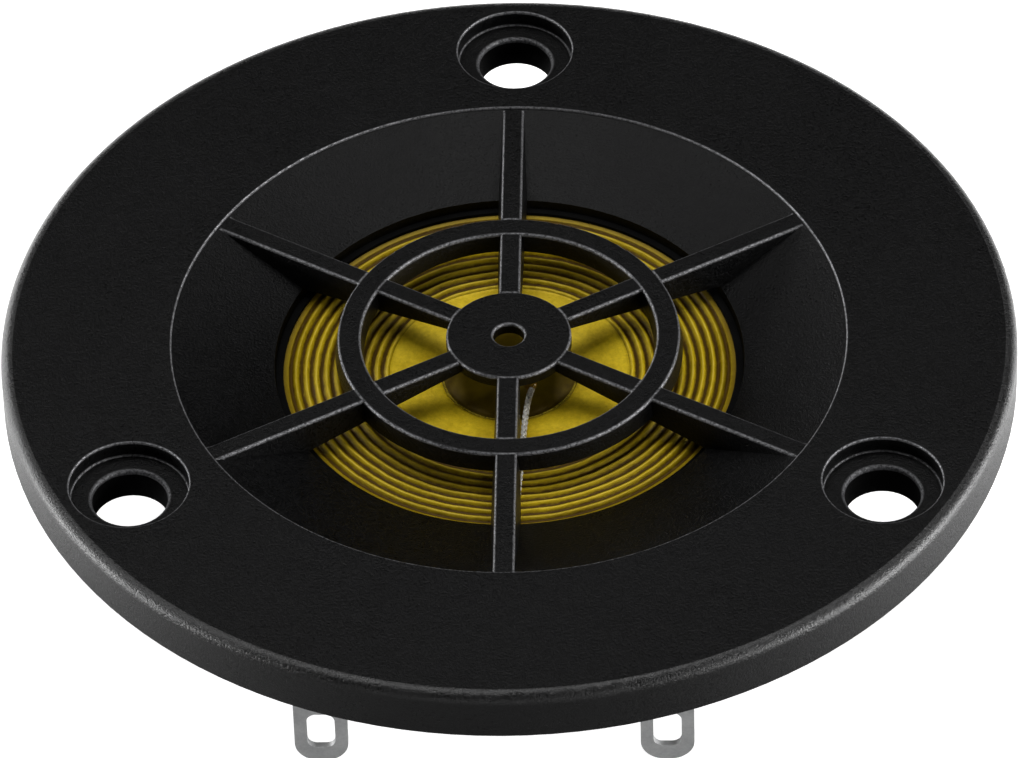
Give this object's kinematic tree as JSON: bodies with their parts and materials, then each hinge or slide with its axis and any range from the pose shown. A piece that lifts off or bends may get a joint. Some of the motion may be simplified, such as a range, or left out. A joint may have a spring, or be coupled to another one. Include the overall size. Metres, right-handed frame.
{
  "type": "car tweeter",
  "caption": "Round flush-mount car tweeter: black flange with a shallow horn, spoked grille, corrugated yellow film diaphragm, ring magnet motor and solder tags.",
  "frame": {"origin": "on the axis at the flange's rear face, where it meets the panel", "axes": "+Z along the axis out of the horn, towards the listener; +X to the right and -Y towards the terminals"},
  "size_m": [0.072, 0.072, 0.0227],
  "materials": {
    "black_abs": "fine-grained satin black moulding",
    "gasket_foam": "black foam",
    "yellow_film": "glossy yellow polymer film",
    "ring_plastic": "black plastic",
    "dome_film": "glossy darker yellow film",
    "coil_former": "brown polyimide",
    "copper_wire": "enamelled copper",
    "amber_glue": "amber glue",
    "zinc_plate": "zinc-plated steel",
    "magnet_glue": "dark epoxy",
    "ferrite": "ground ferrite",
    "felt": "black felt",
    "screw_steel": "bright zinc-plated steel",
    "phenolic": "brown paper phenolic board",
    "tinned_tag": "tinned brass",
    "rivet_brass": "plated brass",
    "solder": "solder",
    "tinsel": "silver tinsel braid"
  },
  "bodies": {
    "frame": {"front_plate": "black_abs", "film_gasket": "gasket_foam", "diaphragm_film": "yellow_film", "film_ring": "ring_plastic", "top_plate": "zinc_plate", "magnet_adhesive": "magnet_glue", "ring_magnet": "ferrite", "rear_plate": "zinc_plate", "pole_piece": "zinc_plate", "damping_pad": "felt", "motor_screws": "screw_steel", "terminal_board": "phenolic", "terminal_left": "tinned_tag", "terminal_right": "tinned_tag", "terminal_rivets": "rivet_brass", "solder_joints": "solder", "tinsel_lead_left": "tinsel", "tinsel_lead_right": "tinsel"},
    "moving_coil": {"centre_dome": "dome_film", "voice_coil_former": "coil_former", "voice_coil_winding": "copper_wire", "coil_leadouts": "copper_wire", "lead_glue": "amber_glue"}
  },
  "joints": [
    {"name": "coil_travel", "type": "slide", "parent": "frame", "child": "moving_coil", "axis": [0, 0, 1], "range_m": [-0.0003, 0.0003], "stiffness_N_per_m": 12000, "deforming": ["diaphragm_film", "tinsel_lead_left", "tinsel_lead_right"]}
  ]
}
